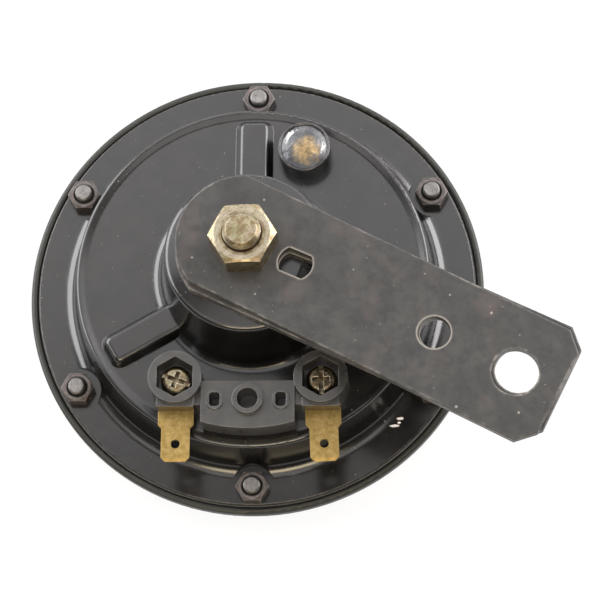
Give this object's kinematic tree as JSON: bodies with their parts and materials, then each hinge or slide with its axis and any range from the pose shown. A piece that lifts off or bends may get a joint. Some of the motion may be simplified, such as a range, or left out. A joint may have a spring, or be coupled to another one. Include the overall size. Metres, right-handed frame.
{
  "type": "car horn",
  "caption": "Disc horn with a pressed steel housing, spring bracket, blade terminals, sealed adjuster and a clamped front ring.",
  "frame": {"origin": "centre of the bracket's bolt hole at the upper face of the upper leaf", "axes": "+Z along the bolt hole, away from the sounding face; the blade terminals point along -Y; the horn's own axis is parallel to Z"},
  "size_m": [0.1237, 0.103, 0.0517],
  "materials": {
    "black_steel": "satin",
    "ring_steel": "satin",
    "bracket_steel": "satin",
    "yellow_zinc": "satin",
    "grey_steel": "satin",
    "rusty_steel": "matte",
    "brass": "satin",
    "black_plastic": "matte",
    "clear_resin": "polished",
    "copper": "satin",
    "fibre": "matte",
    "gasket": "matte",
    "spring_steel": "satin",
    "ceramic": "matte"
  },
  "bodies": {
    "root": {"front_ring": "ring_steel", "front_gasket": "gasket", "rear_gasket": "gasket", "diaphragm": "spring_steel", "rim_screws": "grey_steel", "rim_nuts": "rusty_steel", "housing_shell": "black_steel", "bracket_leaf_inner": "bracket_steel", "bracket_leaf_outer": "bracket_steel", "mounting_stud": "yellow_zinc", "stud_nut": "yellow_zinc", "adjuster_collar": "black_steel", "adjuster_screw": "brass", "sealing_resin": "clear_resin", "adjuster_pad": "fibre", "terminal_block": "black_plastic", "blade_terminal_left": "brass", "blade_terminal_right": "brass", "terminal_screws": "yellow_zinc", "terminal_nuts": "yellow_zinc", "terminal_gasket": "fibre", "contact_tag_left": "brass", "contact_tag_right": "brass", "spark_resistor": "ceramic", "pole_core": "grey_steel", "coil_bobbin": "black_plastic", "coil_winding": "copper", "field_plate": "grey_steel", "contact_insulator_upper": "fibre", "contact_insulator_middle": "fibre", "contact_insulator_lower": "fibre", "moving_contact_arm": "spring_steel", "fixed_contact_arm": "brass", "contact_rivets": "grey_steel", "armature": "grey_steel", "armature_shaft": "grey_steel", "diaphragm_washers": "grey_steel", "tone_disc": "black_steel", "tone_disc_nut": "grey_steel"}
  },
  "joints": []
}
